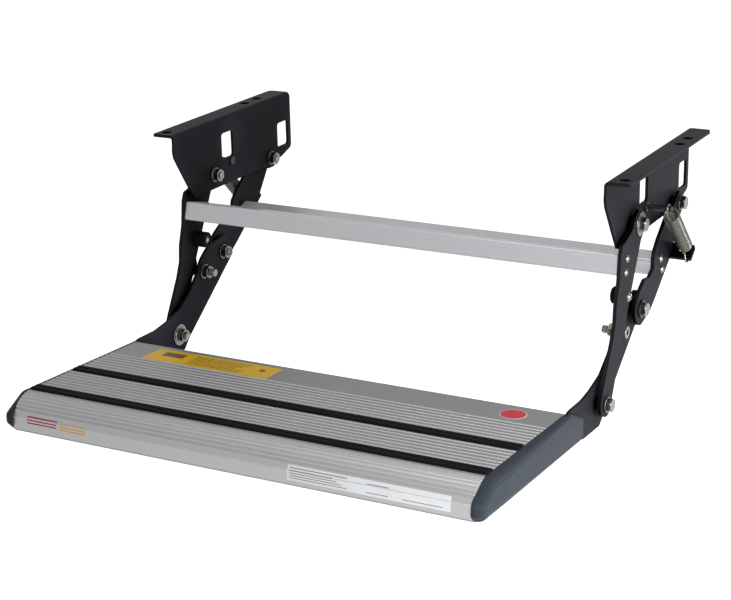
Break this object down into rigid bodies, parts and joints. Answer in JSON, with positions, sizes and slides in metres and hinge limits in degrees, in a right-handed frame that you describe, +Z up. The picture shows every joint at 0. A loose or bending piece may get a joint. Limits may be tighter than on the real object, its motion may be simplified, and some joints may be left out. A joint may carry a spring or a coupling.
{
  "type": "caravan entry step",
  "caption": "Folding entry step: a ribbed aluminium tread on two side linkages with coil springs, hung from flanged mount brackets.",
  "frame": {"origin": "centre of the rectangle of the four outer flange holes, on the flanges' top face", "axes": "+X to the right seen from the front of the step, +Y towards the vehicle, +Z up out of the flanges; the step is pulled out, with no load"},
  "size_m": [0.572, 0.5631, 0.2525],
  "materials": {
    "powder_black": "satin powder coat",
    "silver": "anodised, satin",
    "zinc": "zinc plated",
    "dark_steel": "blackened",
    "spring_steel": "drawn wire, dull",
    "rubber_black": "matt",
    "cap_grey": "fine grain"
  },
  "bodies": {
    "mount": {"mount_bracket_left": "powder_black", "mount_bracket_right": "powder_black", "upper_front_bolts": "zinc", "upper_front_washers": "zinc", "upper_front_nuts": "zinc", "upper_rear_bolts": "zinc", "upper_rear_washers": "zinc", "upper_rear_nuts": "zinc", "upper_bushes": "dark_steel"},
    "front_arms": {"front_arm_left": "powder_black", "front_arm_right": "powder_black", "front_cross_tube": "silver", "front_tube_rivets": "zinc", "bumpers": "rubber_black", "bumper_screws": "zinc"},
    "tread": {"tread_extrusion": "silver", "front_grip_strip": "rubber_black", "rear_grip_strip": "rubber_black", "end_cap_left": "cap_grey", "end_cap_right": "cap_grey", "tread_bracket_left": "powder_black", "tread_bracket_right": "powder_black", "bracket_screws": "zinc", "lower_front_bolts": "zinc", "lower_front_washers": "zinc", "lower_front_nuts": "zinc", "lower_front_bushes": "dark_steel", "stop_bolts": "zinc", "stop_washers": "zinc", "stop_nuts": "zinc", "lower_rear_nuts": "zinc", "lower_rear_inner_washers": "zinc"},
    "rear_arms": {"rear_arm_left": "powder_black", "rear_arm_right": "powder_black", "rear_cross_tube": "silver", "rear_tube_rivets": "zinc", "lower_rear_bolts": "zinc", "lower_rear_washers": "dark_steel", "lower_rear_bushes": "dark_steel"},
    "spring_pins": {"spring_pins": "dark_steel"},
    "springs": {"spring_left": "spring_steel", "spring_right": "spring_steel"}
  },
  "joints": [
    {"name": "front_arm_pivot", "type": "hinge", "parent": "mount", "child": "front_arms", "pos_m": [0, -0.0295, -0.0621], "axis": [1, 0, 0], "range_deg": [0, 90.9]},
    {"name": "tread_pivot", "type": "hinge", "parent": "front_arms", "child": "tread", "pos_m": [0, -0.1177, -0.22745], "axis": [1, 0, 0], "range_deg": [-94.21, 0]},
    {"name": "rear_arm_pivot", "type": "hinge", "parent": "mount", "child": "rear_arms", "pos_m": [0, 0.0953, -0.0708], "axis": [1, 0, 0], "range_deg": [0, 139.28]},
    {"name": "spring_swing", "type": "hinge", "parent": "mount", "child": "spring_pins", "pos_m": [0, 0.008, -0.054], "axis": [1, 0, 0], "range_deg": [0, 46.02]},
    {"name": "spring_stretch", "type": "slide", "parent": "spring_pins", "child": "springs", "axis": [0, 0.7193, -0.6947], "range_m": [0, 0.04263], "deforming": ["spring_left", "spring_right"]}
  ],
  "couplings": [
    {"joint": "tread_pivot", "follows": "front_arm_pivot", "ratio": -1.0362},
    {"joint": "rear_arm_pivot", "follows": "front_arm_pivot", "ratio": 1.532},
    {"joint": "spring_swing", "follows": "front_arm_pivot", "ratio": 0.506},
    {"joint": "spring_stretch", "follows": "front_arm_pivot", "m_per_rad": 0.026859}
  ]
}
